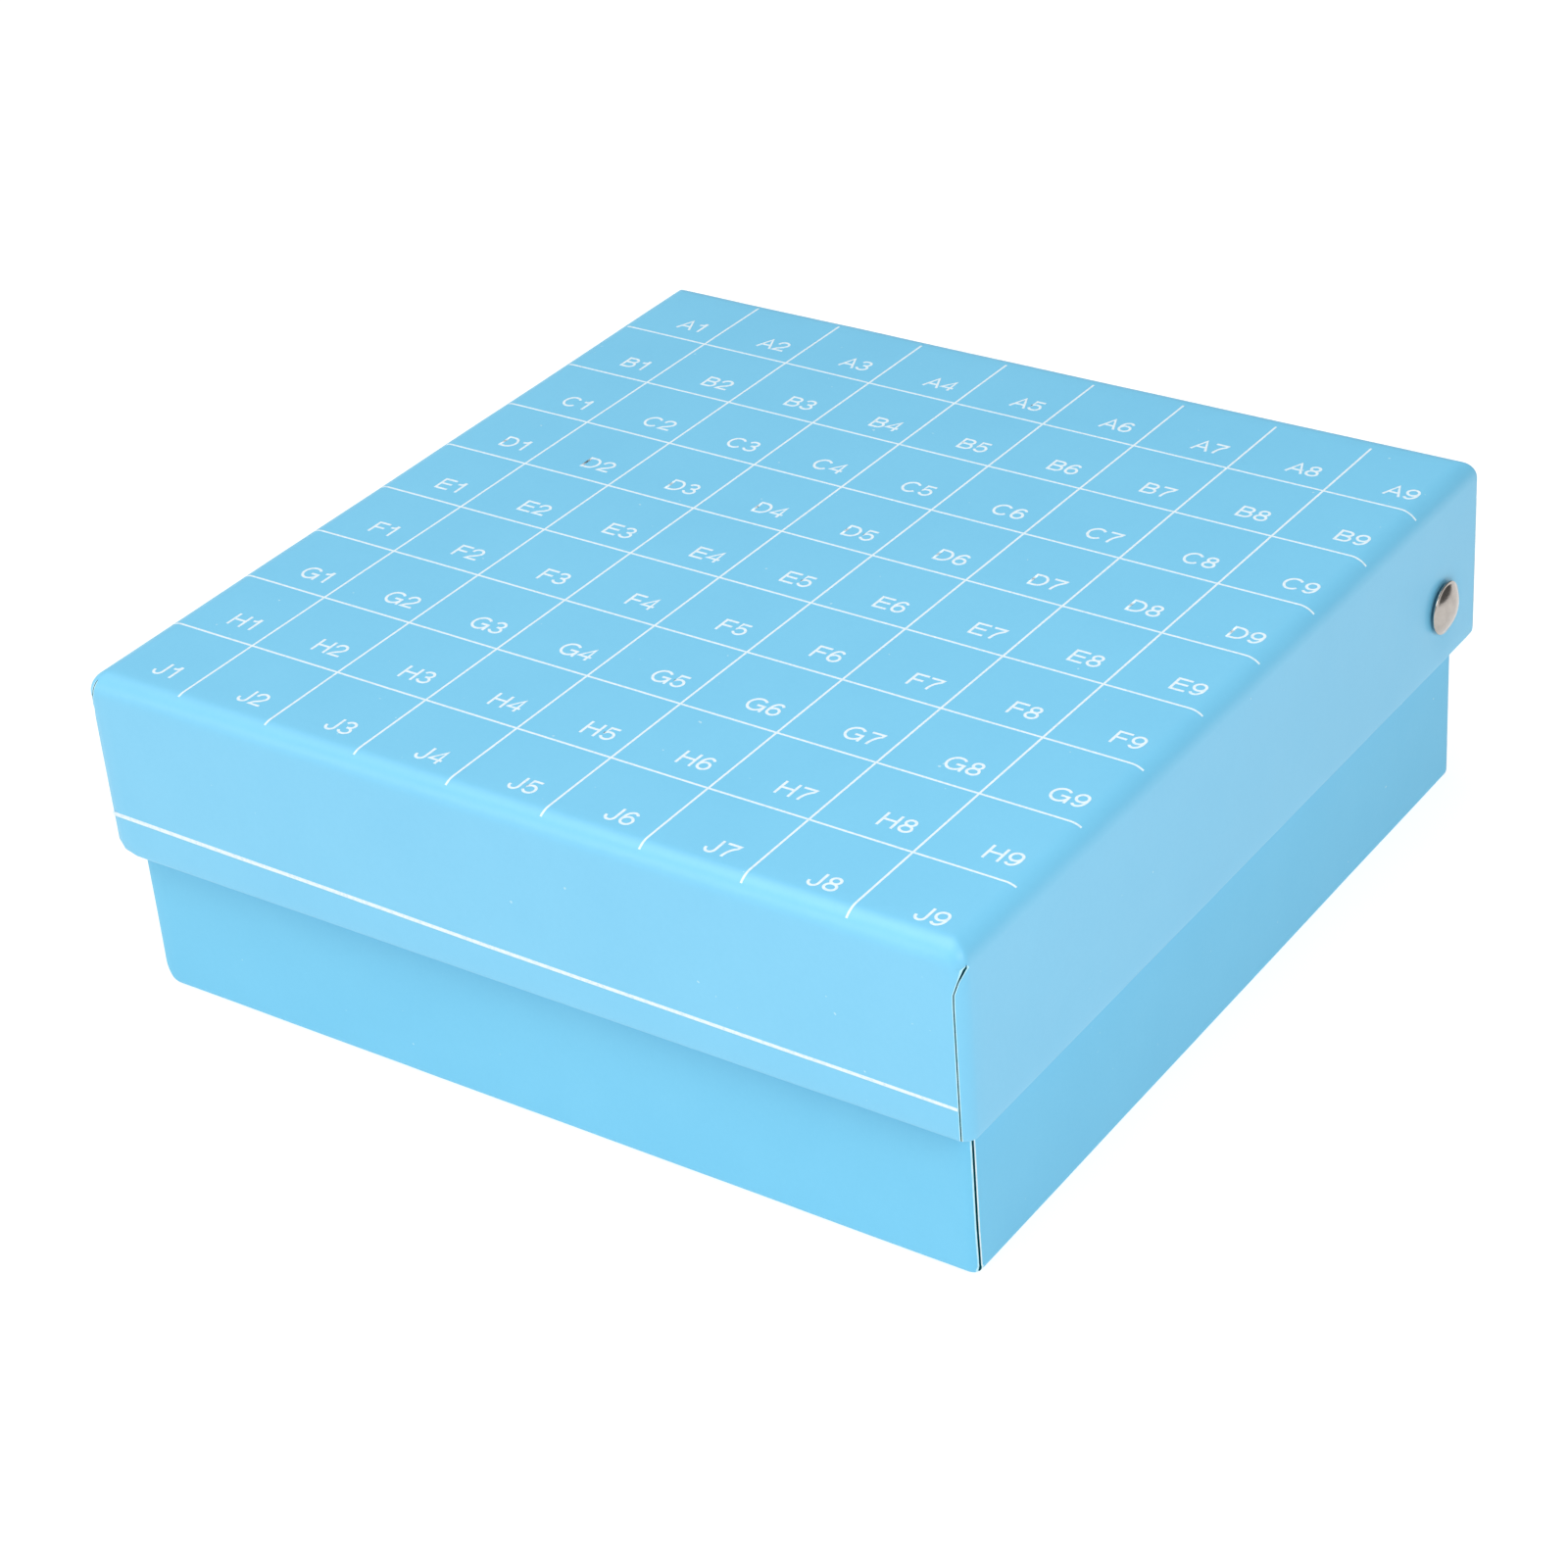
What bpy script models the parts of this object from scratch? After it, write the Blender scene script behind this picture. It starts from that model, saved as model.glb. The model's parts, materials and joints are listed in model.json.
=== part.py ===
"""Cryogenic storage box: a riveted paperboard box for 81 small vials.

The frame: +X to the right along the columns, -Y to the front edge, +Y to the hinge side,
+Z up. The origin is on the floor, under the middle of the box. Units are metres.
"""

import math

import bmesh
import bpy
from mathutils import Matrix, Vector

# Driving dimensions
LID_SIDE = 0.134        # the lid is square, outside
LID_DEPTH = 0.0275      # lid's top face to its lower edge
HEIGHT = 0.0496         # floor to the lid's top face
BOARD = 0.0014          # laminated board, folded double
SIDE_STEP = 0.0019      # lid's outer face to the base's outer face, left and right
END_STEP = 0.0026       # the same at the front and the rear
GAP = 0.0003            # clearance between neighbouring pieces
CELLS = 9               # cells along each side of the grid

# Folds
TOP_FOLD = 0.003
LID_CORNER = 0.0016
BASE_CORNER = 0.0010
BASE_FOLD = 0.002
FOLD_SEGMENTS = 3

# Hinge rivets: their axis is parallel to X, near the rear edge
RIVET_FROM_REAR = 0.0107
RIVET_FROM_TOP = 0.0181
CAP_RADIUS = 0.0045
CAP_RIM = 0.00035
CAP_HEIGHT = 0.0017
SHANK_RADIUS = 0.0016
SHANK_IN_CAP = 0.0007
FOOT_RADIUS = 0.0034
FOOT_THICKNESS = 0.0008
TURN_STEPS = 24
DOME_STEPS = 5

# Base rim: the side walls carry the lid, the front and rear walls leave room for its swing
RIM_TO_LID = 0.0005
FRONT_RIM_DROP = 0.0037
REAR_RIM_DROP = 0.0027
FRONT_RAMP = 0.0032
REAR_RAMP = 0.0057

# The lid's rear wall is a short lip, so that it passes the base's rear wall
LIP_DEPTH = 0.0072

# Cell divider: slotted strips that cross at half their height
STRIP_THICKNESS = 0.0007
STRIP_HEIGHT = 0.030

# Derived dimensions
LID_HALF = LID_SIDE / 2
BASE_HALF_X = LID_HALF - SIDE_STEP
BASE_HALF_Y = LID_HALF - END_STEP
LID_INNER = LID_HALF - BOARD
BASE_INNER_X = BASE_HALF_X - BOARD
BASE_INNER_Y = BASE_HALF_Y - BOARD
LID_LOW = HEIGHT - LID_DEPTH
LID_CEILING = HEIGHT - BOARD
RIM = LID_CEILING - RIM_TO_LID
HINGE = Vector((0.0, LID_HALF - RIVET_FROM_REAR, HEIGHT - RIVET_FROM_TOP))
HOLE_RADIUS = SHANK_RADIUS + GAP
PITCH_X = 2 * BASE_INNER_X / CELLS
PITCH_Y = 2 * BASE_INNER_Y / CELLS
STRIP_BOTTOM = BOARD + GAP
OVERRUN = 0.01          # how far a cutter runs past the faces it cuts


def clear_scene():
    for item in list(bpy.data.objects):
        bpy.data.objects.remove(item, do_unlink=True)


def new_collection(name):
    collection = bpy.data.collections.new(name)
    bpy.context.scene.collection.children.link(collection)
    return collection


def principled(name, colour, roughness, metallic=0.0):
    material = bpy.data.materials.new(name)
    material.use_nodes = True
    shader = material.node_tree.nodes["Principled BSDF"]
    shader.inputs["Base Color"].default_value = (*colour, 1.0)
    shader.inputs["Roughness"].default_value = roughness
    shader.inputs["Metallic"].default_value = metallic
    return material


def add_object(name, data, collection, material=None):
    item = bpy.data.objects.new(name, data)
    collection.objects.link(item)
    if material:
        data.materials.append(material)
    return item


def shape_to_object(name, shape, collection, material=None):
    mesh = bpy.data.meshes.new(name)
    bmesh.ops.recalc_face_normals(shape, faces=shape.faces)
    shape.to_mesh(mesh)
    shape.free()
    return add_object(name, mesh, collection, material)


def box_shape(low, high):
    low, high = Vector(low), Vector(high)
    shape = bmesh.new()
    place = Matrix.Translation((low + high) / 2) @ Matrix.Diagonal((*(high - low), 1.0))
    bmesh.ops.create_cube(shape, size=1.0, matrix=place)
    return shape


def round_edges(shape, is_chosen, radius):
    edges = [edge for edge in shape.edges if is_chosen(*(vertex.co for vertex in edge.verts))]
    bmesh.ops.bevel(shape, geom=edges, offset=radius, segments=FOLD_SEGMENTS,
                    profile=0.5, affect='EDGES', clamp_overlap=True)


def is_upright(a, b):
    return abs(a.z - b.z) > OVERRUN


def at_height(height):
    return lambda a, b: max(abs(a.z - height), abs(b.z - height)) < GAP


def make_cutter(item, cutters):
    for collection in list(item.users_collection):
        collection.objects.unlink(item)
    cutters.objects.link(item)
    item.hide_render = True
    item.display_type = 'WIRE'
    return item


def box_cutter(name, low, high, cutters):
    return make_cutter(shape_to_object(name, box_shape(low, high), cutters), cutters)


def outline_object(name, points, half_thickness, collection, material=None):
    """A flat outline in the local XY plane, extruded both ways along local Z."""
    curve = bpy.data.curves.new(name, 'CURVE')
    curve.dimensions = '2D'
    curve.fill_mode = 'BOTH'
    curve.extrude = half_thickness
    spline = curve.splines.new('POLY')
    spline.points.add(len(points) - 1)
    for point, (x, y) in zip(spline.points, points):
        point.co = (x, y, 0.0, 1.0)
    spline.use_cyclic_u = True
    return add_object(name, curve, collection, material)


def curve_to_mesh(item):
    """Replace a curve object by the same shape as a welded mesh."""
    bpy.context.view_layer.update()
    evaluated = item.evaluated_get(bpy.context.evaluated_depsgraph_get())
    mesh = bpy.data.meshes.new_from_object(evaluated)
    shape = bmesh.new()
    shape.from_mesh(mesh)
    bmesh.ops.remove_doubles(shape, verts=shape.verts, dist=GAP / 10)
    bmesh.ops.recalc_face_normals(shape, faces=shape.faces)
    shape.to_mesh(mesh)
    shape.free()
    name, place = item.name, item.matrix_world.copy()
    collection = item.users_collection[0]
    bpy.data.objects.remove(item, do_unlink=True)
    solid = add_object(name, mesh, collection)
    solid.matrix_world = place
    return solid


def cut(item, cutter):
    modifier = item.modifiers.new("cut_" + cutter.name, 'BOOLEAN')
    modifier.operation = 'DIFFERENCE'
    modifier.solver = 'EXACT'
    modifier.object = cutter


def turned_object(name, profile, collection, material=None):
    """Turn (radius, height) points about local Z; the outer side runs from top to bottom."""
    shape = bmesh.new()
    vertices = [shape.verts.new((radius, 0.0, height)) for radius, height in profile]
    for first, second in zip(vertices, vertices[1:]):
        shape.edges.new((first, second))
    mesh = bpy.data.meshes.new(name)
    shape.to_mesh(mesh)
    shape.free()
    item = add_object(name, mesh, collection, material)
    screw = item.modifiers.new("turn", 'SCREW')
    screw.axis = 'Z'
    screw.steps = TURN_STEPS
    screw.render_steps = TURN_STEPS
    screw.use_merge_vertices = True
    screw.merge_threshold = 0.00001
    screw.use_smooth_shade = True
    return item


def wall_hole_cutter(cutters):
    """One long drill on the hinge axis, through all four side walls."""
    bpy.ops.mesh.primitive_cylinder_add(vertices=TURN_STEPS, radius=HOLE_RADIUS,
                                        depth=LID_SIDE + 2 * OVERRUN, location=HINGE,
                                        rotation=(0.0, math.pi / 2, 0.0))
    drill = bpy.context.active_object
    drill.name = "rivet_drill"
    return make_cutter(drill, cutters)


def rim_cutter(cutters):
    """Lowers the base's front and rear rims, with ramps up to the side rims."""
    top = HEIGHT + OVERRUN
    front, rear = -BASE_INNER_Y, BASE_INNER_Y
    front_rim, rear_rim = RIM - FRONT_RIM_DROP, RIM - REAR_RIM_DROP
    profiles = {
        "front_rim_cutter": [(front - OVERRUN, front_rim), (front, front_rim),
                             (front + FRONT_RAMP, RIM), (front + FRONT_RAMP, top),
                             (front - OVERRUN, top)],
        "rear_rim_cutter": [(rear + OVERRUN, rear_rim), (rear + OVERRUN, top),
                            (rear - REAR_RAMP, top), (rear - REAR_RAMP, RIM),
                            (rear, rear_rim)],
    }
    result = []
    for name, points in profiles.items():
        item = outline_object(name, points, LID_HALF, cutters)
        item.rotation_euler = (math.pi / 2, 0.0, math.pi / 2)
        result.append(make_cutter(curve_to_mesh(item), cutters))
    return result


def make_base(parts, cutters, material, drill):
    shape = box_shape((-BASE_HALF_X, -BASE_HALF_Y, 0.0), (BASE_HALF_X, BASE_HALF_Y, RIM))
    round_edges(shape, is_upright, BASE_CORNER)
    round_edges(shape, at_height(0.0), BASE_FOLD)
    base = shape_to_object("base_tray", shape, parts, material)
    cut(base, box_cutter("base_cavity", (-BASE_INNER_X, -BASE_INNER_Y, BOARD),
                         (BASE_INNER_X, BASE_INNER_Y, RIM + OVERRUN), cutters))
    for cutter in rim_cutter(cutters):
        cut(base, cutter)
    cut(base, drill)
    return base


def make_lid(parts, cutters, material, drill):
    shape = box_shape((-LID_HALF, -LID_HALF, LID_LOW), (LID_HALF, LID_HALF, HEIGHT))
    round_edges(shape, is_upright, LID_CORNER)
    round_edges(shape, at_height(HEIGHT), TOP_FOLD)
    lid = shape_to_object("lid_tray", shape, parts, material)
    cut(lid, box_cutter("lid_cavity", (-LID_INNER, -LID_INNER, LID_LOW - OVERRUN),
                        (LID_INNER, LID_INNER, LID_CEILING), cutters))
    cut(lid, box_cutter("lid_rear_opening", (-LID_INNER, LID_INNER - OVERRUN, LID_LOW - OVERRUN),
                        (LID_INNER, LID_HALF + OVERRUN, HEIGHT - LIP_DEPTH), cutters))
    cut(lid, drill)
    hinge = bpy.data.objects.new("lid_hinge", None)
    hinge.location = HINGE
    parts.objects.link(hinge)
    lid.parent = hinge
    lid.location = -HINGE
    return lid


def comb_outline(half_length, pitch, slots_from_top):
    """Outline of a divider strip: a long rectangle with a slot at every crossing strip."""
    half_slot = STRIP_THICKNESS / 2 + GAP
    crossings = [pitch * (index - CELLS / 2) for index in range(1, CELLS)]
    slot_end = STRIP_HEIGHT / 2 + (-GAP / 2 if slots_from_top else GAP / 2)
    low, high = 0.0, STRIP_HEIGHT
    if slots_from_top:
        plain, slotted = low, high
    else:
        plain, slotted = high, low
    points = [(-half_length, plain), (half_length, plain), (half_length, slotted)]
    for crossing in reversed(crossings):
        points += [(crossing + half_slot, slotted), (crossing + half_slot, slot_end),
                   (crossing - half_slot, slot_end), (crossing - half_slot, slotted)]
    points.append((-half_length, slotted))
    return points


def make_divider(parts, material):
    """Row strips run along X with slots from above, column strips along Y with slots from below."""
    row_names = "abcdefghj"
    row_outline = comb_outline(BASE_INNER_X - GAP, PITCH_X, True)
    column_outline = comb_outline(BASE_INNER_Y - GAP, PITCH_Y, False)
    for index in range(1, CELLS):
        place = index - CELLS / 2
        row = outline_object(f"row_strip_{row_names[index - 1]}_{row_names[index]}",
                             row_outline, STRIP_THICKNESS / 2, parts, material)
        row.rotation_euler = (math.pi / 2, 0.0, 0.0)
        row.location = (0.0, -PITCH_Y * place, STRIP_BOTTOM)
        column = outline_object(f"column_strip_{index}_{index + 1}",
                                column_outline, STRIP_THICKNESS / 2, parts, material)
        column.rotation_euler = (math.pi / 2, 0.0, math.pi / 2)
        column.location = (PITCH_X * place, 0.0, STRIP_BOTTOM)


def cap_profile():
    """Domed rivet cap with a blind socket; height 0 is its underside."""
    rise = CAP_HEIGHT - CAP_RIM
    dome = (CAP_RADIUS ** 2 + rise ** 2) / (2 * rise)
    half_angle = math.asin(CAP_RADIUS / dome)
    socket = SHANK_IN_CAP + GAP
    points = []
    for step in range(DOME_STEPS + 1):
        angle = half_angle * step / DOME_STEPS
        points.append((dome * math.sin(angle), CAP_HEIGHT - dome * (1 - math.cos(angle))))
    points += [(CAP_RADIUS, 0.0), (HOLE_RADIUS, 0.0), (HOLE_RADIUS, socket), (0.0, socket)]
    return points


def post_profile(reach):
    """Rivet post with its flat foot; height 0 is the foot's inner face."""
    edge = FOOT_THICKNESS / 3
    return [(0.0, reach), (SHANK_RADIUS, reach), (SHANK_RADIUS, FOOT_THICKNESS),
            (FOOT_RADIUS, FOOT_THICKNESS), (FOOT_RADIUS, edge), (FOOT_RADIUS - edge, 0.0),
            (0.0, 0.0)]


def make_rivets(parts, material):
    cap_seat = LID_HALF + GAP
    foot_face = BASE_INNER_X - GAP - FOOT_THICKNESS
    reach = cap_seat + SHANK_IN_CAP - foot_face
    for side, sign in (("left", -1), ("right", 1)):
        for name, profile, distance in (("cap", cap_profile(), cap_seat),
                                        ("post", post_profile(reach), foot_face)):
            item = turned_object(f"rivet_{name}_{side}", profile, parts, material)
            item.rotation_euler = (0.0, sign * math.pi / 2, 0.0)
            item.location = (sign * distance, HINGE.y, HINGE.z)


def main():
    clear_scene()
    parts = new_collection("cryogenic_storage_box")
    cutters = new_collection("cutters")
    blue_board = principled("blue_laminated_board", (0.23, 0.61, 0.85), 0.45)
    white_card = principled("white_divider_card", (0.86, 0.86, 0.83), 0.8)
    rivet_steel = principled("rivet_steel", (0.55, 0.53, 0.51), 0.25, 1.0)
    drill = wall_hole_cutter(cutters)
    make_base(parts, cutters, blue_board, drill)
    make_lid(parts, cutters, blue_board, drill)
    make_divider(parts, white_card)
    make_rivets(parts, rivet_steel)


main()
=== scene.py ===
"""Looks of the cryogenic storage box: the laminated board, its printed grid, its seams and rivets.

Units are metres, in the frame of the CAD model: +X right, -Y front, +Y hinge side, +Z up.
"""

import json
import math
from dataclasses import dataclass
from typing import Callable

import bmesh
import bpy
from mathutils import Matrix, Vector, noise


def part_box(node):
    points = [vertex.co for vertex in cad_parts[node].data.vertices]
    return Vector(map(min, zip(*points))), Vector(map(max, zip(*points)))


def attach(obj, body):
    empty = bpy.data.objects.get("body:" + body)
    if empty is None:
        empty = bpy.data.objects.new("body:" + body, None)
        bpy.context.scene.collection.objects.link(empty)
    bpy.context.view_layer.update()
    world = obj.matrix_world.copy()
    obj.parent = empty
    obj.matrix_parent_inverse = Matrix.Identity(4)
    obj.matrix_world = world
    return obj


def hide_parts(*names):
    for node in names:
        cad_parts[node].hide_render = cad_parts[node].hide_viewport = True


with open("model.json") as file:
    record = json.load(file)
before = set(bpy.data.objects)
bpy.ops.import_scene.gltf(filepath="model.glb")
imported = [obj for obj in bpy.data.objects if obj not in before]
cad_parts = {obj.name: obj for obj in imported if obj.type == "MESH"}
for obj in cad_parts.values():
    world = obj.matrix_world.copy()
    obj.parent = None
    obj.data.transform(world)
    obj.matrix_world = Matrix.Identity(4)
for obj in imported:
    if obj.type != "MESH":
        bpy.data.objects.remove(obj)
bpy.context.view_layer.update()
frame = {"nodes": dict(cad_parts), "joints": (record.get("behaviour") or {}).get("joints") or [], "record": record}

# Camera
CAMERA_PLACE = Vector((0.25650, -0.35249, 0.28571))
CAMERA_TARGET = Vector((0.00585, -0.01481, 0.02480))
CAMERA_ROLL = math.radians(-4.769)
CAMERA_LENS = 85.71
CAMERA_SENSOR = 36.0

# Board and folds
BOARD = 0.0014
CROWN = 0.00012          # the lid's top edges lie this much below its middle
LID_FOLD = 0.0030
LID_CORNER = 0.0020
REAR_CORNER = 0.0008
BASE_SIDE_FOLDS = (0.0036, 0.0010)   # bottom folds of the left and right walls
BASE_END_FOLD = 0.0012               # bottom folds of the front and rear walls
BASE_CORNER = 0.0016
CEILING_DROP = 0.00012   # how much lower the lid's ceiling is at its edges
LIP_DEPTH = 0.0072       # depth of the lid's rear wall
FRONT_RIM_DROP = 0.0037  # base rims below the side rims, and the ramps that lead to them
REAR_RIM_DROP = 0.0027
FRONT_RAMP = 0.0032
REAR_RAMP = 0.0057
SIDE_WALL_END = 0.0013   # rounding of the side walls' lower rear corners on the lid
LOOSE_CORNER = 0.0040    # rounding of the lid's lower front left corner
SEAM_BEND = (0.0205, 0.0042, 1.6)    # a lid seam's bend: where it starts, its height and its curve
THIN_SEAM = 0.00008      # half width of a lid seam where it isn't open
SEAM_GROOVE = 0.00025    # its depth there
SLIT_GROOVE = 0.00090    # extra depth where a lid seam stands open
BASE_GROOVE = 0.00080    # depth of the base's seams
BASE_FOOT = 0.0080       # height of the part of them that leans
BASE_GAP = 0.0014        # height of the gap at their foot
BARE_FOOT = 0.0008       # height of the lid's bare seam edge
HEAD_DENT = 0.00012      # depth of the dent under a rivet head
DENT_SPREAD = 0.0012     # how softly it ends
TURN_IN_SHARE = 0.46     # how far up the inner walls the turned-in lamination reaches
TURN_IN_STEP = 0.00013   # its thickness

# Mesh density
CELL = 0.0018            # usual size of a mesh face
FINE_CELL = 0.0005       # size near the rivets
FINE_REACH = 0.0062
FOLD_STEPS = 14
RIM_STEPS = 8
INNER_STEPS = 12
LEAST_RADIUS = 0.0001    # of an upright corner, on the inside of the board
MERGE_DISTANCE = 0.0000008

# Hand-made unevenness
WAVE_HEIGHT = 0.00005
WAVE_LENGTH = 0.022
RIPPLE_HEIGHT = 0.00001
RIPPLE_LENGTH = 0.006
WAVE_MIDDLE = 0.8        # the waves stay below the flat surface of the CAD model

# Print
GRID_CELLS = 9
GRID_PITCH = Vector((0.01469, 0.01444))
GRID_CENTRE = Vector((0.00052, -0.00095))
PRINT_TURN = 0.0123      # the print is turned a little on the board, in radians
PRINT_LEFT, PRINT_RIGHT = -0.0658, 0.0656
PRINT_FRONT, PRINT_REAR = -0.0648, 0.0645
INK = 0.000022           # how far the ink stands off the lamination
PRINT_SPACING = 0.0004   # between the points of a printed line
LINE_WIDTHS = (0.00031, 0.00031)
STRIPE_WIDTHS = (0.00062, 0.00046)
CAP_HEIGHT = 0.0029      # height of a capital letter
STROKE_WIDTHS = (0.00037, 0.00037)
MITRE_LIMIT = 0.55       # a sharper turn's corner is cut short

# Light: place, size, power and colour of each lamp, and the brightness of the room
TOP_LIGHT = ((-0.20, -0.20, 1.00), 0.9, 6.4, (1.0, 0.99, 0.98))
FRONT_LIGHT = ((-0.50, -0.80, 0.38), 0.4, 1.40, (1.0, 0.90, 0.80))
SIDE_LIGHT = ((0.36, -0.18, 0.26), 0.2, 0.60, (0.90, 0.98, 1.0))
BRIGHT_SIDE = Vector((-0.60, -0.75, 0.30))
LIGHT_TARGET = Vector((0.0, 0.0, 0.03))
ROOM_DARK, ROOM_BRIGHT = 0.12, 0.60
ROOM_SPAN = (-0.8, 0.9)  # where the room is darkest and brightest along BRIGHT_SIDE
FLOOR_REACH = 6.0
FLOOR_TONE = 0.30
FLOOR_GLOW = 0.84

# Rivet heads
HEAD_RADIUS = 0.0038
HEAD_HEIGHT = 0.0015
HEAD_RIM = 0.00034       # thickness of the rolled rim
HEAD_STEPS = 16

lid_low, lid_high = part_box("lid_tray")
base_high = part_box("base_tray")[1]
cap_low, cap_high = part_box("rivet_cap_right")
HINGE = Vector(frame["joints"][0]["pos_m"])
LID_HALF = lid_high.x
# The ink on the lid's middle is the highest point of the model
LID_TOP = lid_high.z - INK


# ---------------------------------------------------------------- materials

def new_material(name, roughness, metallic=0.0, specular=0.5):
    material = bpy.data.materials.new(name)
    material.use_nodes = True
    shader = material.node_tree.nodes["Principled BSDF"]
    shader.inputs["Roughness"].default_value = roughness
    shader.inputs["Metallic"].default_value = metallic
    shader.inputs["Specular IOR Level"].default_value = specular
    return material, material.node_tree, shader


def noise_field(tree, scale, detail=2.0, roughness=0.5, stretch=(1.0, 1.0, 1.0)):
    """Noise in the object's own space; scale is in features per metre."""
    place = tree.nodes.new("ShaderNodeTexCoord")
    mapping = tree.nodes.new("ShaderNodeMapping")
    mapping.inputs["Scale"].default_value = stretch
    field = tree.nodes.new("ShaderNodeTexNoise")
    field.inputs["Scale"].default_value = scale
    field.inputs["Detail"].default_value = detail
    field.inputs["Roughness"].default_value = roughness
    tree.links.new(place.outputs["Object"], mapping.inputs["Vector"])
    tree.links.new(mapping.outputs["Vector"], field.inputs["Vector"])
    return field.outputs["Fac"]


def ramp(tree, value, stops):
    item = tree.nodes.new("ShaderNodeValToRGB")
    elements = item.color_ramp.elements
    while len(elements) < len(stops):
        elements.new(0.5)
    for element, (position, colour) in zip(elements, stops):
        element.position = position
        element.color = (*colour, 1.0)
    tree.links.new(value, item.inputs["Fac"])
    return item.outputs["Color"]


def map_range(tree, value, low, high):
    item = tree.nodes.new("ShaderNodeMapRange")
    item.inputs["To Min"].default_value = low
    item.inputs["To Max"].default_value = high
    tree.links.new(value, item.inputs["Value"])
    return item.outputs["Result"]


def mix_colour(tree, factor, first, second, mode='MIX'):
    item = tree.nodes.new("ShaderNodeMix")
    item.data_type = 'RGBA'
    item.blend_type = mode
    for socket, value in ((item.inputs[0], factor), (item.inputs[6], first), (item.inputs[7], second)):
        if isinstance(value, bpy.types.NodeSocket):
            tree.links.new(value, socket)
        elif isinstance(value, tuple):
            socket.default_value = (*value, 1.0)
        else:
            socket.default_value = value
    return item.outputs[2]


def bump(tree, shader, layers):
    """Stack bump layers of (height field, strength, distance) on the shader's normal."""
    normal = None
    for height, strength, distance in layers:
        item = tree.nodes.new("ShaderNodeBump")
        item.inputs["Strength"].default_value = strength
        item.inputs["Distance"].default_value = distance
        tree.links.new(height, item.inputs["Height"])
        if normal:
            tree.links.new(normal, item.inputs["Normal"])
        normal = item.outputs["Normal"]
    tree.links.new(normal, shader.inputs["Normal"])


def speckle(tree, scale, threshold, width):
    """A mask of small sparse specks."""
    field = noise_field(tree, scale, 1.0)
    item = tree.nodes.new("ShaderNodeMapRange")
    item.inputs["From Min"].default_value = threshold
    item.inputs["From Max"].default_value = threshold + width
    tree.links.new(field, item.inputs["Value"])
    return item.outputs["Result"]


def blue_lamination(name, specular, low, high):
    """Glossy printed paper between two tones of blue, with faint fibres, dust and orange peel."""
    material, tree, shader = new_material(name, 0.39, specular=specular)
    colour = ramp(tree, noise_field(tree, 55.0, 3.0, 0.6), [(0.3, low), (0.7, high)])
    fibres = noise_field(tree, 1400.0, 2.0, 0.6)
    colour = mix_colour(tree, 0.05, colour, ramp(tree, fibres, [(0.35, (0.15, 0.53, 0.80)),
                                                                 (0.65, (0.23, 0.63, 0.89))]))
    dust = speckle(tree, 900.0, 0.80, 0.03)
    colour = mix_colour(tree, dust, colour, (0.42, 0.72, 0.88))
    tree.links.new(colour, shader.inputs["Base Color"])
    tree.links.new(map_range(tree, noise_field(tree, 160.0, 3.0), 0.36, 0.44), shader.inputs["Roughness"])
    grain = noise_field(tree, 2600.0, 3.0, 0.6)
    orange_peel = noise_field(tree, 420.0, 2.0, 0.5)
    bump(tree, shader, [(grain, 0.2, 0.00002), (orange_peel, 0.2, 0.00003)])
    return material


def worn_lamination():
    """Lamination rubbed thin along a cut or a crease."""
    material, tree, shader = new_material("worn_laminated_paper", 0.5, specular=0.4)
    wear = noise_field(tree, 500.0, 4.0, 0.7)
    tree.links.new(ramp(tree, wear, [(0.35, (0.38, 0.78, 0.93)), (0.65, (0.58, 0.88, 0.96))]),
                   shader.inputs["Base Color"])
    bump(tree, shader, [(wear, 0.3, 0.00003)])
    return material


def raw_board():
    material, tree, shader = new_material("raw_board_edge", 0.85, specular=0.2)
    layers = noise_field(tree, 900.0, 4.0, 0.7)
    tree.links.new(ramp(tree, layers, [(0.3, (0.60, 0.84, 0.88)), (0.55, (0.80, 0.95, 0.98))]),
                   shader.inputs["Base Color"])
    bump(tree, shader, [(layers, 0.5, 0.00006)])
    return material


def seam_shadow():
    # Dark teal on the seams' inner faces is painted shade: it stands in for the shadow in the narrow gap between
    # the board edges.
    material, tree, shader = new_material("seam_painted_shade", 0.9, specular=0.1)
    field = noise_field(tree, 700.0, 3.0)
    tree.links.new(ramp(tree, field, [(0.3, (0.004, 0.120, 0.170)), (0.7, (0.010, 0.190, 0.260))]),
                   shader.inputs["Base Color"])
    return material


def white_liner():
    material, tree, shader = new_material("white_coated_liner", 0.55, specular=0.35)
    mottle = noise_field(tree, 90.0, 4.0, 0.6)
    colour = ramp(tree, mottle, [(0.3, (0.76, 0.78, 0.78)), (0.7, (0.83, 0.84, 0.83))])
    fibres = speckle(tree, 520.0, 0.70, 0.05)
    colour = mix_colour(tree, fibres, colour, (0.62, 0.62, 0.58))
    tree.links.new(colour, shader.inputs["Base Color"])
    grain = noise_field(tree, 1500.0, 4.0, 0.65)
    bump(tree, shader, [(grain, 0.4, 0.00004)])
    return material


def divider_card():
    material, tree, shader = new_material("white_divider_card", 0.75, specular=0.25)
    mottle = noise_field(tree, 130.0, 4.0, 0.6, (1.0, 1.0, 0.5))
    colour = ramp(tree, mottle, [(0.3, (0.74, 0.75, 0.73)), (0.7, (0.82, 0.82, 0.79))])
    fibres = noise_field(tree, 1800.0, 4.0, 0.7, (1.0, 1.0, 0.35))
    colour = mix_colour(tree, 0.18, colour, ramp(tree, fibres, [(0.35, (0.55, 0.55, 0.52)),
                                                                 (0.65, (0.92, 0.92, 0.90))]))
    tree.links.new(colour, shader.inputs["Base Color"])
    bump(tree, shader, [(fibres, 0.45, 0.00005)])
    return material


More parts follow.
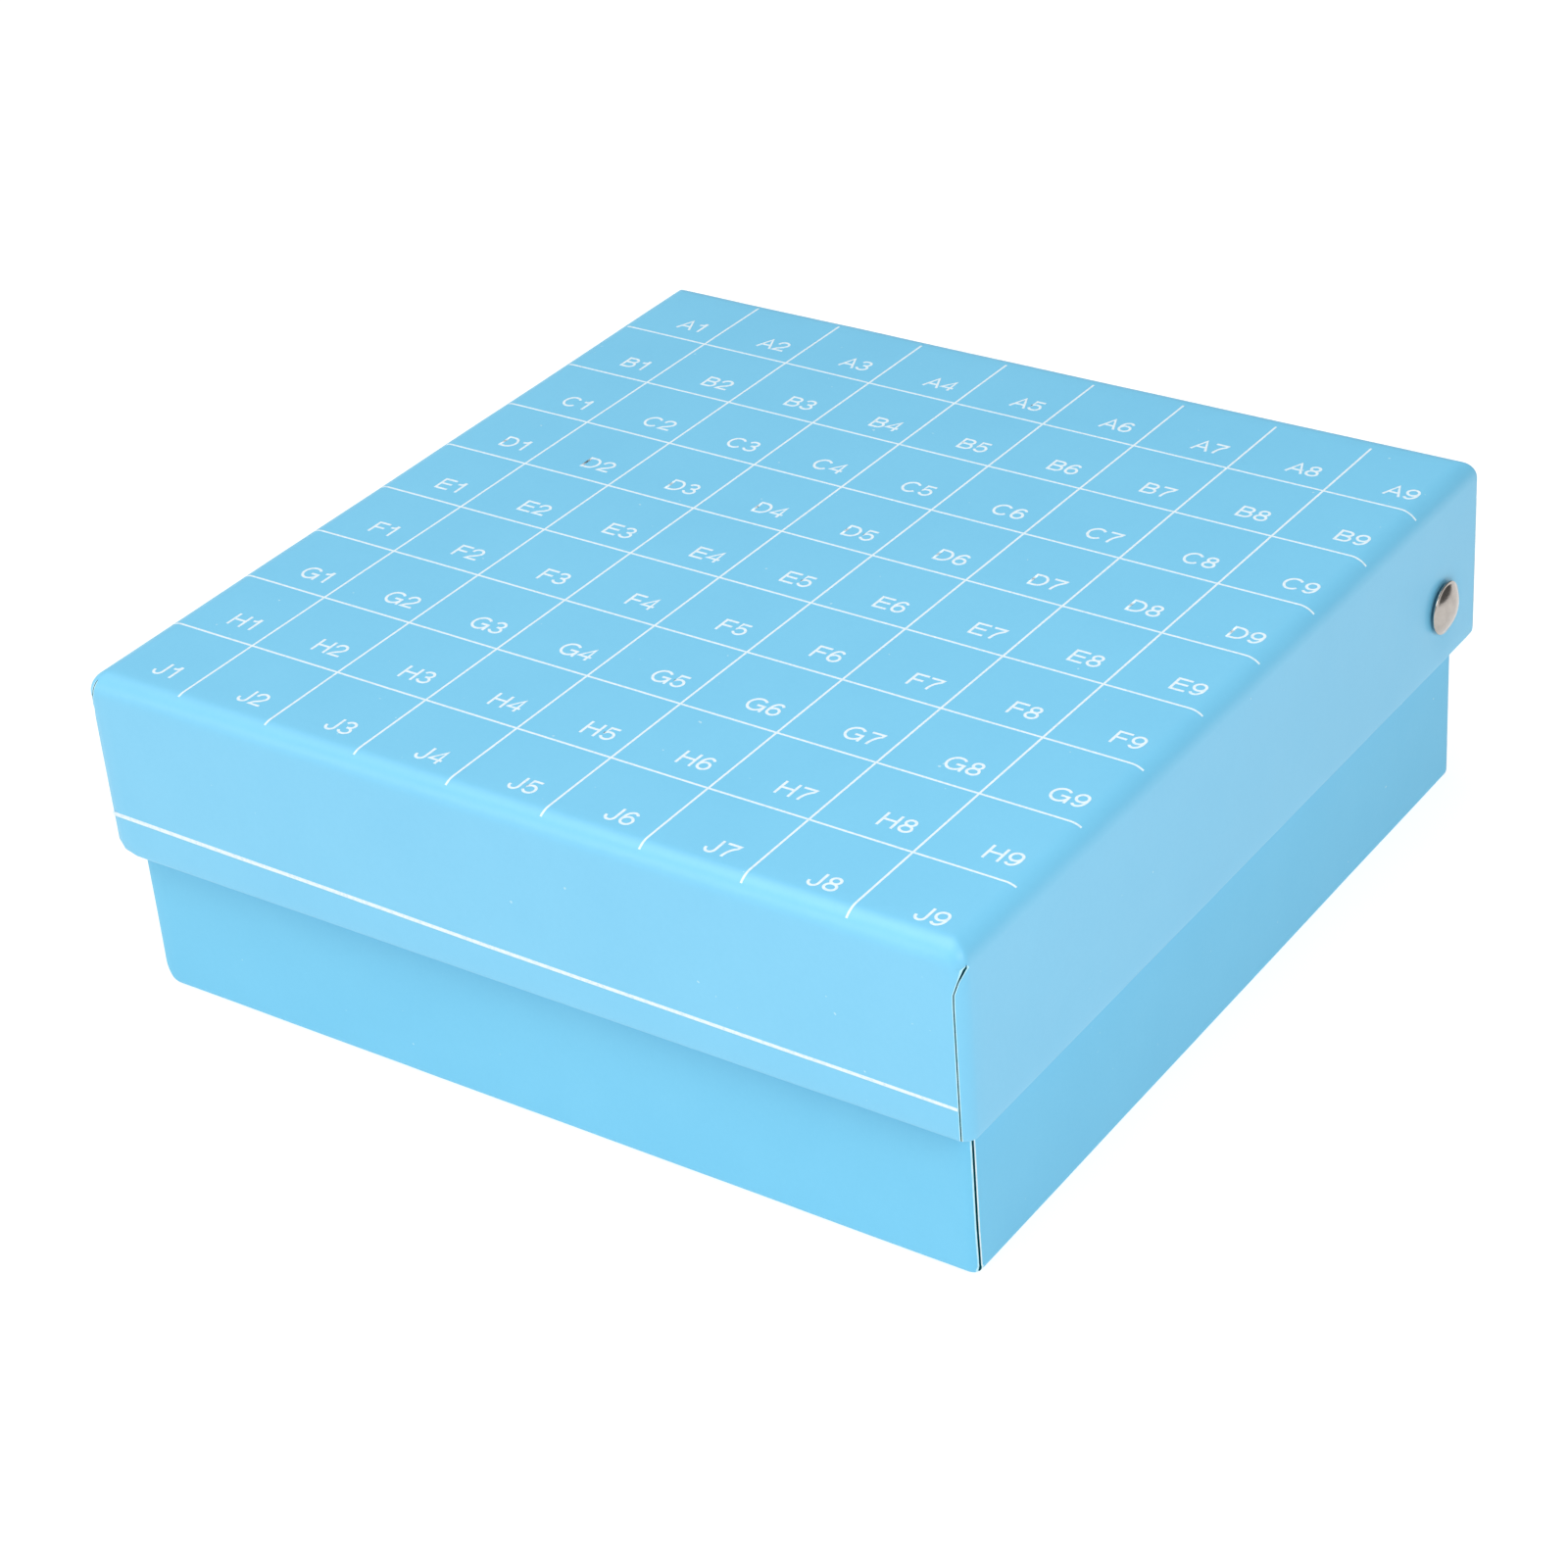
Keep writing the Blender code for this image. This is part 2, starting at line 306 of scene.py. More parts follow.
def white_ink():
    material, tree, shader = new_material("white_ink", 0.5, specular=0.35)
    cover = noise_field(tree, 2200.0, 3.0, 0.6)
    tree.links.new(ramp(tree, cover, [(0.25, (0.60, 0.78, 0.88)), (0.55, (0.79, 0.89, 0.94))]),
                   shader.inputs["Base Color"])
    bump(tree, shader, [(cover, 0.15, 0.00002)])
    return material


def rivet_steel():
    material, tree, shader = new_material("nickel_plated_steel", 0.22, metallic=1.0)
    tone = noise_field(tree, 600.0, 3.0, 0.6)
    tree.links.new(ramp(tree, tone, [(0.3, (0.42, 0.385, 0.355)), (0.7, (0.50, 0.46, 0.425))]),
                   shader.inputs["Base Color"])
    scuffs = noise_field(tree, 900.0, 4.0, 0.7, (1.0, 1.0, 6.0))
    tree.links.new(map_range(tree, scuffs, 0.10, 0.26), shader.inputs["Roughness"])
    bump(tree, shader, [(scuffs, 0.12, 0.00003)])
    return material


def pale_floor():
    material, tree, shader = new_material("pale_floor", 0.9, specular=0.0)
    tone = noise_field(tree, 3.0, 2.0)
    tree.links.new(ramp(tree, tone, [(0.3, (FLOOR_TONE,) * 3), (0.7, (FLOOR_TONE + 0.01,) * 3)]),
                   shader.inputs["Base Color"])
    shader.inputs["Emission Color"].default_value = (1.0, 1.0, 1.0, 1.0)
    shader.inputs["Emission Strength"].default_value = FLOOR_GLOW
    return material


LID_BLUE = blue_lamination("blue_laminated_lid", 0.5, (0.188, 0.574, 0.834), (0.198, 0.590, 0.848))
# The base gets its own copy of the same lamination, a touch less red and far less glossy: painted shade that
# stands in for the dim reflection of the shaded floor beside the box.
BASE_BLUE_PAINTED_SHADE = blue_lamination("blue_laminated_base_painted_shade", 0.1, (0.182, 0.574, 0.834), (0.192, 0.590, 0.848))
RAW = raw_board()
SEAM = seam_shadow()
WORN = worn_lamination()
LINER = white_liner()
CARD = divider_card()
WHITE_INK = white_ink()
STEEL = rivet_steel()


# ---------------------------------------------------------------- mesh helpers

def make_object(name, shape, materials, smooth_angle=35.0):
    bmesh.ops.remove_doubles(shape, verts=shape.verts, dist=MERGE_DISTANCE)
    mesh = bpy.data.meshes.new(name)
    shape.to_mesh(mesh)
    shape.free()
    mesh.shade_smooth()
    mesh.set_sharp_from_angle(angle=math.radians(smooth_angle))
    item = bpy.data.objects.new(name, mesh)
    bpy.context.scene.collection.objects.link(item)
    for material in materials:
        mesh.materials.append(material)
    return item


def add_face(shape, corners, material=0):
    """A quad or a triangle; corners that share a place are dropped."""
    kept = []
    for vertex in corners:
        if all((vertex.co - other.co).length > MERGE_DISTANCE for other in kept):
            kept.append(vertex)
    if len(kept) > 2:
        face = shape.faces.new(kept)
        face.material_index = material


def wave(place):
    """Unevenness of hand-folded board, along the surface's normal; nearly always below 0."""
    slow = noise.noise(place / WAVE_LENGTH) - WAVE_MIDDLE
    quick = noise.noise(place / RIPPLE_LENGTH + Vector((7.0, 3.0, 1.0))) - WAVE_MIDDLE
    return WAVE_HEIGHT * slow + RIPPLE_HEIGHT * quick


def positions(limit, fine_centre=None):
    """Rising places from -limit to limit, closer together around fine_centre."""
    count = round(2 * limit / CELL)
    places = [-limit + 2 * limit * step / count for step in range(count + 1)]
    if fine_centre is not None:
        low = max(fine_centre - FINE_REACH, -limit + FINE_CELL)
        high = min(fine_centre + FINE_REACH, limit - FINE_CELL)
        fine_count = round((high - low) / FINE_CELL)
        fine = [low + (high - low) * step / fine_count for step in range(fine_count + 1)]
        places = [p for p in places if p < low - FINE_CELL / 2 or p > high + FINE_CELL / 2] + fine
    return sorted(places)


# ---------------------------------------------------------------- folded trays

@dataclass
class Seam:
    """An upright seam on a corner, at one height."""
    angle: float        # its place round the corner, from the end wall's face
    half_width: float
    depth: float


@dataclass
class Tray:
    """A folded tray with its closed face up: the open side is at height 0."""
    half_x: float
    half_y: float
    depth: float
    corners: tuple      # radii of the upright corners: front right, rear right, rear left, front left
    side_folds: tuple   # left and right
    end_fold: float
    crown: float
    ceiling: float
    ceiling_drop: float
    rivet_height: float
    dimple: float       # depth of the dent under a rivet head
    rim: Callable       # rim height at a place (x, y)
    seams: tuple        # for each corner, a function from height to Seam
    seam_tops: tuple    # for each corner, the height where the seam closes
    is_bare: Callable   # height -> is the seam's far lip the board's bare edge?
    skin: object        # material of the outside

    def panel_x(self, share):
        """A place across the flat panel; share is -1 at its left edge and 1 at its right edge."""
        left, right = self.side_folds[0] - self.half_x, self.half_x - self.side_folds[1]
        return left + (right - left) * (share + 1) / 2


CORNER_SIGNS = ((1, -1), (1, 1), (-1, 1), (-1, -1))
# Columns of mesh across a seam: their places in half widths from its middle, and their depths
SEAM_OFFSETS = (-2.4, -1.0, -0.6, 0.0, 0.6, 1.0, 2.4)
SEAM_DEPTHS = (0.0, 0.0, 0.9, 1.0, 0.9, 0.0, 0.0)
AFTER_SEAM = (0.2, 0.4, 0.6, 0.8)
SEAM_START = 1
SEAM_END = SEAM_START + len(SEAM_OFFSETS) - 1
SEAM_MARGIN = 2.6        # a seam's middle stays this many half widths inside its corner
WIDEST_SEAM = math.radians(9)
CORNER_COLUMNS = SEAM_END + 1 + len(AFTER_SEAM)


def crown_fall(ratio):
    ratio = min(abs(ratio), 1.0)
    return (ratio ** 2 + ratio ** 4) / 2


def crown_height(tray, x, y):
    across = 1 - crown_fall(x / (tray.half_x - max(tray.side_folds)))
    along = 1 - crown_fall(y / (tray.half_y - tray.end_fold))
    return tray.depth - tray.crown * (1 - across * along)


def seam_columns(seam, radius):
    """Angles round an upright corner, from the end wall's face: lead-in, lip, seam, lip and the rest."""
    spread = min(seam.half_width / max(radius, 0.00005), WIDEST_SEAM)
    margin = spread * SEAM_MARGIN
    centre = min(max(seam.angle, margin), math.pi / 2 - margin)
    angles = [(centre + SEAM_OFFSETS[0] * spread) / 2]
    angles += [centre + offset * spread for offset in SEAM_OFFSETS]
    angles += [angles[-1] + (math.pi / 2 - angles[-1]) * share for share in AFTER_SEAM]
    return angles, centre


def tray_columns(xs, ys):
    """The columns round the tray: ("front", x share), ("corner", corner, step) and so on."""
    def corner(index):
        steps = range(CORNER_COLUMNS) if index in (0, 2) else reversed(range(CORNER_COLUMNS))
        return [("corner", index, step) for step in steps]
    return ([("front", x) for x in xs] + corner(0) + [("right", y) for y in ys] + corner(1)
            + [("rear", x) for x in reversed(xs)] + corner(2)
            + [("left", y) for y in reversed(ys)] + corner(3))


def plan_place(tray, column, insets, radii, height, with_seam):
    """Place and outward direction in plan, and the seam's pull inwards.

    Insets are those of the left, right and end walls; radii are those of the four corners.
    """
    left = insets[0] - tray.half_x
    right = tray.half_x - insets[1]
    reach_y = tray.half_y - insets[2]
    front_right, rear_right, rear_left, front_left = radii
    kind = column[0]
    pull = Vector((0.0, 0.0))
    if kind in ("front", "rear"):
        sign, low, high = (-1, front_left, front_right) if kind == "front" else (1, rear_left, rear_right)
        low, high = left + low, right - high
        return Vector((low + (high - low) * (column[1] + 1) / 2, sign * reach_y)), Vector((0, sign)), pull
    if kind in ("left", "right"):
        sign, low, high = (-1, front_left, rear_left) if kind == "left" else (1, front_right, rear_right)
        low, high = low - reach_y, reach_y - high
        x = left if kind == "left" else right
        return Vector((x, low + (high - low) * (column[1] + 1) / 2)), Vector((sign, 0)), pull
    sign_x, sign_y = CORNER_SIGNS[column[1]]
    radius = radii[column[1]]
    seam = tray.seams[column[1]](height)
    angles, centre = seam_columns(seam, radius)
    angle = angles[column[2]]
    outward = Vector((sign_x * math.sin(angle), sign_y * math.cos(angle)))
    middle = Vector(((left if sign_x < 0 else right) - sign_x * radius, sign_y * (reach_y - radius)))
    if with_seam and SEAM_START <= column[2] <= SEAM_END:
        inward = Vector((-sign_x * math.sin(centre), -sign_y * math.cos(centre)))
        pull = inward * seam.depth * SEAM_DEPTHS[column[2] - SEAM_START]
    return middle + outward * radius, outward, pull


def wall_place(tray, column):
    """A column's place on the flat outer wall, which sets the height of its rim."""
    return plan_place(tray, column, (0, 0, 0), tray.corners, 0.0, False)[0]


def dimple(tray, place, height):
    """The board is pressed in a little under each rivet head."""
    distance = math.hypot(place.y - HINGE.y, height - tray.rivet_height)
    radius = (cap_high.z - cap_low.z) / 2
    edge = max((distance - radius) / DENT_SPREAD, 0.0)
    return tray.dimple * math.exp(-edge * edge)


def fold_lean(fold, edge, height):
    """How far a fold leans in at this height, and the sine of its tilt."""
    rise = min(max(height - (edge - fold), 0.0), fold)
    return fold - math.sqrt(fold * fold - rise * rise), rise / fold


def outer_point(tray, column, share, angle):
    """A point on the outer skin: share runs up the wall, where angle is None; then angle runs from 0 to
    90 degrees round the fold."""
    edge = tray.depth - tray.crown
    fold = max(*tray.side_folds, tray.end_fold)
    if angle is None:
        low = tray.rim(*wall_place(tray, column)) + BOARD / 2
        height = low + (edge - fold - low) * share
    else:
        height = edge - fold + fold * math.sin(angle)
    leans = [fold_lean(radius, edge, height) for radius in (*tray.side_folds, tray.end_fold)]
    flats = [math.sqrt(max(1 - tilt ** 2, 0.0)) for _, tilt in leans[:2]]
    radii = [radius * flats[sign_x > 0] for radius, (sign_x, _) in zip(tray.corners, CORNER_SIGNS)]
    place, outward, pull = plan_place(tray, column, [inset for inset, _ in leans], radii, height, True)
    side_tilt = leans[0 if outward.x < 0 else 1][1]
    tilt = side_tilt + (leans[2][1] - side_tilt) * outward.y ** 2
    flat = math.sqrt(max(1 - tilt ** 2, 0.0))
    pull *= min(1.0, 2.2 * flat)
    shift = wave(Vector((place.x, place.y, height)))
    if column[0] in ("left", "right") and angle is None:
        shift -= dimple(tray, place, height)
    plan = place + pull + outward * flat * shift
    return Vector((plan.x, plan.y, height + tilt * shift))


def rim_point(tray, column, angle):
    """A point on the folded rim: 0 is the outer face, 180 degrees the inner face."""
    radius = BOARD / 2
    inset = radius * (1 - math.cos(angle))
    corners = [max(corner - inset, LEAST_RADIUS) for corner in tray.corners]
    height = tray.rim(*wall_place(tray, column)) + radius * (1 - math.sin(angle))
    place, outward, pull = plan_place(tray, column, (inset,) * 3, corners, height, True)
    flat = wall_place(tray, column)
    shift = wave(Vector((flat.x, flat.y, height))) * math.cos(angle / 2)
    plan = place + pull * max(0.0, math.cos(angle)) + outward * shift
    return Vector((plan.x, plan.y, height))


def inner_point(tray, column, share, inset):
    """A point on the inner wall: share runs from the rim to the ceiling."""
    corners = [max(corner - inset, LEAST_RADIUS) if share < 1 else 0.0 for corner in tray.corners]
    low = tray.rim(*wall_place(tray, column)) + BOARD / 2
    height = low + (tray.ceiling - tray.ceiling_drop - low) * share
    place, _, _ = plan_place(tray, column, (inset,) * 3, corners, height, False)
    return Vector((place.x, place.y, height))


def panel_point(tray, x_share, y_share):
    x = tray.panel_x(x_share)
    y = y_share * (tray.half_y - tray.end_fold)
    point = Vector((x, y, crown_height(tray, x, y)))
    point.z += wave(point.copy())
    return point


def ceiling_point(tray, x_share, y_share):
    inset = BOARD - TURN_IN_STEP
    fall = 1 - (1 - crown_fall(x_share)) * (1 - crown_fall(y_share))
    return Vector((x_share * (tray.half_x - inset), y_share * (tray.half_y - inset),
                   tray.ceiling - tray.ceiling_drop * fall))


def inner_rows(tray, columns):
    """Rows from the ceiling down to the rim, with the step where the turned-in lamination ends."""
    rows = []
    for step in range(INNER_STEPS, 0, -1):
        share = step / INNER_STEPS
        if share > TURN_IN_SHARE:
            rows.append(("lined", share, BOARD - TURN_IN_STEP))
            continue
        if rows[-1][0] == "lined":
            rows.append(("lined", TURN_IN_SHARE + 0.004, BOARD - TURN_IN_STEP))
            rows.append(("edge", TURN_IN_SHARE, BOARD))
        rows.append(("inner", share, BOARD))
    return [(kind, [inner_point(tray, column, share, inset) for column in columns])
            for kind, share, inset in rows]


def wall_rows(tray, columns):
    """Rows up the outside, from the rim over the folds to the panel."""
    top = tray.depth - tray.crown - max(*tray.side_folds, tray.end_fold)
    rows = []
    for step in range(RIM_STEPS + 1):
        angle = math.pi * (1 - step / RIM_STEPS)
        rows.append(("rim", [rim_point(tray, column, angle) for column in columns]))
    for height in positions(top / 2, tray.rivet_height - top / 2)[1:]:
        share = height / top + 0.5
        rows.append(("outer", [outer_point(tray, column, share, None) for column in columns]))
    for step in range(1, FOLD_STEPS + 1):
        angle = math.pi / 2 * step / FOLD_STEPS
        rows.append(("fold", [outer_point(tray, column, 1.0, angle) for column in columns]))
    return rows


# Material slots of a tray
# SHADOW faces, inside the seams, carry the painted shade of seam_shadow.
SKIN, BARE, SHADOW, INSIDE, LIP = range(5)


def wall_material(tray, kind, first, second, height):
    """Material slot of the face between two columns."""
    at_corner = first[0] == "corner" and second[0] == "corner"
    if at_corner and kind not in ("outer", "fold") and CORNER_SIGNS[first[1]][1] > 0:
        return SKIN     # the cut ends of the side walls, beside the rear wall
    if kind == "lined":
        return INSIDE
    if kind == "edge":
        return LIP
    if kind == "inner" or not at_corner:
        return SKIN
    low, high = sorted((first[2], second[2]))
    if height > tray.seam_tops[first[1]] or low < SEAM_START or high > SEAM_END:
        return SKIN
    if low == SEAM_END - 1 and tray.is_bare(height):
        return BARE
    return LIP if low == SEAM_START or high == SEAM_END else SHADOW


def build_tray(tray, name, to_world, flip):
    """One closed mesh: ceiling, inner walls, rims, outer walls, folds and panel."""
    scale_x, scale_y = tray.half_x - max(tray.side_folds), tray.half_y - tray.end_fold
    xs = [x / scale_x for x in positions(scale_x)]
    ys = [y / scale_y for y in positions(scale_y, HINGE.y)]
    columns = tray_columns(xs, ys)
    shape = bmesh.new()
    rows = [(kind, [shape.verts.new(point) for point in points])
            for kind, points in inner_rows(tray, columns) + wall_rows(tray, columns)]
    for (_, lower), (kind, upper) in zip(rows, rows[1:]):
        for index, column in enumerate(columns):
            following = (index + 1) % len(columns)
            corners = [lower[index], lower[following], upper[following], upper[index]]
            height = sum(vertex.co.z for vertex in corners) / 4
            add_face(shape, corners, wall_material(tray, kind, column, columns[following], height))
    add_grid(shape, tray, panel_point, xs, ys, False, SKIN)
    add_grid(shape, tray, ceiling_point, xs, ys, True, INSIDE)
    for vertex in shape.verts:
        vertex.co = to_world(vertex.co)
    if flip:
        bmesh.ops.reverse_faces(shape, faces=shape.faces)
    return make_object(name, shape, (tray.skin, RAW, SEAM, LINER, WORN))


def add_grid(shape, tray, point_of, xs, ys, facing_down, material):
    table = [[shape.verts.new(point_of(tray, x, y)) for x in xs] for y in ys]
    for lower, upper in zip(table, table[1:]):
        for index in range(len(xs) - 1):
            corners = [lower[index], lower[index + 1], upper[index + 1], upper[index]]
            if facing_down:
                corners.reverse()
            add_face(shape, corners, material)


# ---------------------------------------------------------------- the lid

def smooth_step(value, low, high):
    share = min(max((value - low) / (high - low), 0.0), 1.0)
    return share * share * (3 - 2 * share)


def rounded_end(distance, radius):
    """Rise of a rim near its rounded end."""
    short = max(radius - distance, 0.0)
    return radius - math.sqrt(radius * radius - short * short)


def lid_rim(x, y):
    """The rear wall is a short lip between the side walls; three of the lower corners are rounded."""
    if y > LID_HALF - REAR_CORNER * 0.75:
        raised = lid_tray.depth - LIP_DEPTH
        inside = (LID_HALF - REAR_CORNER * 0.35 - abs(x)) / (REAR_CORNER * 0.5)
        share = min(max(inside, 0.0), 1.0)
        if share > 0:
            return raised * share
    if x < 0 and y < 0:
        return rounded_end(max(x, y) + LID_HALF, LOOSE_CORNER)
    return rounded_end(LID_HALF - y, SIDE_WALL_END)


def lid_seam(low_angle, high_angle, slit_low, slit_high, slit_width):
    """Straight up beside the corner, then across it, with an open slit at the top."""
    bend_start, bend_height, bend_curve = SEAM_BEND

    def at(height):
        bend = min(max((height - bend_start) / bend_height, 0.0), 1.0) ** bend_curve
        slit = smooth_step(height, slit_low - 0.0002, slit_low + 0.0003)
        slit *= 1 - smooth_step(height, slit_high - 0.0002, slit_high + 0.0001)
        closed = smooth_step(height, slit_high - 0.0002, slit_high + 0.0002)
        return Seam(angle=math.radians(low_angle + (high_angle - low_angle) * bend),
                    half_width=THIN_SEAM + slit_width * slit - 0.00003 * closed,
                    depth=SEAM_GROOVE * (1 - closed) + SLIT_GROOVE * slit + 0.00001)
    return at


def lid_is_bare(height):
    return height < BARE_FOOT


# Angles at the foot and the top, where the slit starts and ends, and how much wider it is
RIGHT_SEAM = (17.5, 70.5, 0.02330, 0.02465, 0.00019)
LEFT_SEAM = (72, 15, 0.0245, 0.0264, 0.0)
lid_tray = Tray(half_x=LID_HALF, half_y=LID_HALF, depth=LID_TOP - lid_low.z,
                corners=(LID_CORNER, REAR_CORNER, REAR_CORNER, LID_CORNER),
                side_folds=(LID_FOLD, LID_FOLD), end_fold=LID_FOLD, crown=CROWN,
                ceiling=lid_high.z - BOARD - lid_low.z, ceiling_drop=CEILING_DROP,
                rivet_height=HINGE.z - lid_low.z, dimple=HEAD_DENT, rim=lid_rim,
                seams=tuple(lid_seam(*shape) for shape in (RIGHT_SEAM, LEFT_SEAM) * 2),
                seam_tops=(RIGHT_SEAM[3], LEFT_SEAM[3]) * 2, is_bare=lid_is_bare, skin=LID_BLUE)


def make_lid():
    shell = build_tray(lid_tray, "lid_shell", lambda p: p + Vector((0, 0, lid_low.z)), False)
    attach(shell, "lid")
    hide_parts("lid_tray")


# ---------------------------------------------------------------- the base

def base_rim(_, y):
    """Side rims carry the lid; the front and rear rims are lower, with ramps."""
    inner = base_high.y - BOARD
    front = min(max((-inner + FRONT_RAMP - y) / FRONT_RAMP, 0.0), 1.0)
    rear = min(max((y - inner + REAR_RAMP) / REAR_RAMP, 0.0), 1.0)
    return FRONT_RIM_DROP * front + REAR_RIM_DROP * rear


def base_seam(angle, foot_angle, half_width):
    """Upright, then leaning a little at the foot, where the board has a small gap."""
    def at(height):
        foot = smooth_step(height, base_high.z - BASE_FOOT, base_high.z - 0.0010)
        gap = smooth_step(height, base_high.z - BASE_GAP, base_high.z - 0.0006)
        return Seam(angle=math.radians(angle + (foot_angle - angle) * foot),
                    half_width=half_width * (1 + gap), depth=BASE_GROOVE)
    return at


base_tray = Tray(half_x=base_high.x, half_y=base_high.y, depth=base_high.z, corners=(BASE_CORNER,) * 4,
                 side_folds=BASE_SIDE_FOLDS, end_fold=BASE_END_FOLD, crown=0.0,
                 ceiling=base_high.z - BOARD, ceiling_drop=0.0,
                 rivet_height=base_high.z - HINGE.z, dimple=0.0, rim=base_rim,
                 seams=(base_seam(65, 69, 0.00016), base_seam(22, 26, 0.00009),
                        base_seam(60, 64, 0.00009), base_seam(70, 72, 0.00007)),
                 seam_tops=(base_high.z - 0.0002,) * 4, is_bare=lambda height: True, skin=BASE_BLUE_PAINTED_SHADE)


def make_base():
    def to_world(p):
        return Vector((p.x, p.y, max(base_high.z - p.z, 0.0)))
    shell = build_tray(base_tray, "base_shell", to_world, True)
    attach(shell, "base")
    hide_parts("base_tray")


# ---------------------------------------------------------------- print

def lid_skin(u, v):
    """Point and normal on the lid's top; u and v keep counting round the folds."""
    reach = LID_HALF - LID_FOLD
    place = [0.0, 0.0]
    tilt = [0.0, 0.0]
    drop = 0.0
    for axis, value in enumerate((u, v)):
        beyond = abs(value) - reach
        if beyond <= 0:
            place[axis] = value
            continue
        angle = beyond / LID_FOLD
        place[axis] = math.copysign(reach + LID_FOLD * math.sin(angle), value)
        tilt[axis] = math.copysign(math.sin(angle), value)
        drop += LID_FOLD * (1 - math.cos(angle))
    normal = Vector((tilt[0], tilt[1], math.sqrt(max(1 - tilt[0] ** 2 - tilt[1] ** 2, 0.0))))
    height = crown_height(lid_tray, place[0], place[1]) - drop
    point = Vector((place[0], place[1], height))
    point += normal * wave(point.copy())
    point.z += lid_low.z
    return point, normal


def printed_skin(x, y):
    """The same for a place on the printed sheet, from the middle of its grid."""
    across = Vector((math.cos(PRINT_TURN), -math.sin(PRINT_TURN)))
    place = GRID_CENTRE + across * x + Vector((-across.y, across.x)) * y
    return lid_skin(place.x, place.y)


def front_skin(u, v):
    """Point and normal on the lid's front wall; u is x and v the height over the lid's lower edge."""
    place = Vector((u, -LID_HALF, v))
    place.y -= wave(place.copy())
    place.z += lid_low.z
    return place, Vector((0, -1, 0))


def along(path, spacing):
    """The same path with more points on its long straight stretches."""
    result = [path[0]]
    for start, end in zip(path, path[1:]):
        steps = max(1, math.ceil((end - start).length / spacing))
        result += [start.lerp(end, step / steps) for step in range(1, steps + 1)]
    return result


def add_stroke(shape, path, widths, skin, lift=INK):
    """A flat stroke of ink that follows the skin, with mitred corners and a width for each end."""
    count = len(path)
    rings = []
    for index, point in enumerate(path):
        before = (point - path[index - 1]).normalized() if index else None
        after = (path[index + 1] - point).normalized() if index < count - 1 else None
        direction = ((before or after) + (after or before)).normalized()
        side = Vector((-direction.y, direction.x))
        reference = before or after
        stretch = 1 / max(abs(side.dot(Vector((-reference.y, reference.x)))), MITRE_LIMIT)
        width = widths[0] + (widths[1] - widths[0]) * index / (count - 1)
        ring = []
        for offset, height in ((1, lift), (-1, lift), (-1, -lift), (1, -lift)):
            where = point + side * (offset * width / 2 * stretch)
            place, normal = skin(where.x, where.y)
            ring.append(shape.verts.new(place + normal * height))
        rings.append(ring)
    for first, second in zip(rings, rings[1:]):
        for a in range(4):
            b = (a + 1) % 4
            add_face(shape, [first[a], first[b], second[b], second[a]])
    add_face(shape, list(reversed(rings[0])))
    add_face(shape, rings[-1])


def finish_print(name, shape):
    bmesh.ops.recalc_face_normals(shape, faces=shape.faces)
    item = make_object(name, shape, [WHITE_INK], smooth_angle=60.0)
    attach(item, "lid")
    return item


def make_grid_lines():
    """Eight lines each way; their ends run onto the folds."""
    shape = bmesh.new()
    for index in range(1, GRID_CELLS):
        x, y = GRID_PITCH * (index - GRID_CELLS / 2)
        column = along([Vector((x, PRINT_FRONT)), Vector((x, PRINT_REAR))], PRINT_SPACING)
        row = along([Vector((PRINT_LEFT, y)), Vector((PRINT_RIGHT, y))], PRINT_SPACING)
        add_stroke(shape, column, LINE_WIDTHS, printed_skin)
        add_stroke(shape, row, LINE_WIDTHS, printed_skin, INK * 0.9)
    return finish_print("printed_grid", shape)


def make_stripe():
    """The stripe along the lid's front wall, printed a little askew."""
    shape = bmesh.new()
    path = [Vector((0.0010 - LID_HALF, 0.0063)), Vector((0.0, 0.0054)), Vector((LID_HALF - 0.0016, 0.0049))]
    add_stroke(shape, along(path, PRINT_SPACING), STRIPE_WIDTHS, front_skin)
    return finish_print("printed_stripe", shape)


def arc(x, y, rx, ry, start, end, steps=None):
    """Points on an ellipse from start to end, in degrees; the sign gives the way round."""
    steps = steps or max(4, round(abs(end - start) / 15))
    return [(x + rx * math.cos(math.radians(start + (end - start) * step / steps)),
             y + ry * math.sin(math.radians(start + (end - start) * step / steps)))
            for step in range(steps + 1)]


HALF_STROKE = 0.059
TOP = 1 - HALF_STROKE
BOTTOM = HALF_STROKE

